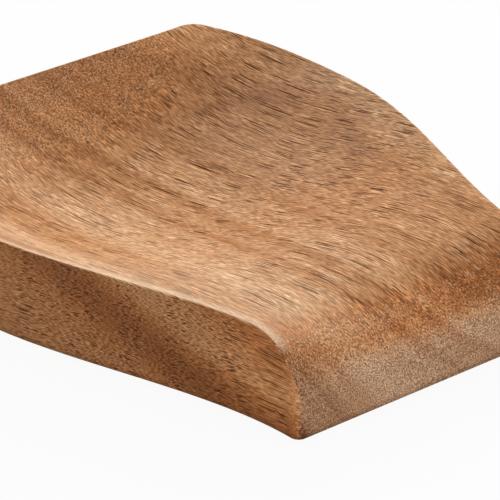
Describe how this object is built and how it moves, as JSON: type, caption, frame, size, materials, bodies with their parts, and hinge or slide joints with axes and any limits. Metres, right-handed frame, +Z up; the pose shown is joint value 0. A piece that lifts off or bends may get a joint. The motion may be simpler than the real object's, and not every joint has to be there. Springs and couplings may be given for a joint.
{
  "type": "utensil rest",
  "caption": "Carved solid-wood utensil rest with a dished top, bulged sides, a straight tail and a narrower rolled nose that carries the handle, on stick-on rubber feet.",
  "frame": {"origin": "centre of the footprint box, on the surface that the feet stand on", "axes": "+Y from the rolled nose to the straight tail, +Z up, +X to the right seen from the nose"},
  "size_m": [0.1024, 0.127, 0.0222],
  "materials": {
    "wood": "oiled satin, open pores",
    "foot_rubber": "matte moulded silicone",
    "adhesive": "matte acrylic adhesive film"
  },
  "bodies": {
    "root": {"rest_body": "wood", "tail_left_pad": "foot_rubber", "tail_right_pad": "foot_rubber", "nose_left_pad": "foot_rubber", "nose_right_pad": "foot_rubber", "tail_left_adhesive": "adhesive", "tail_right_adhesive": "adhesive", "nose_left_adhesive": "adhesive", "nose_right_adhesive": "adhesive"}
  },
  "joints": []
}
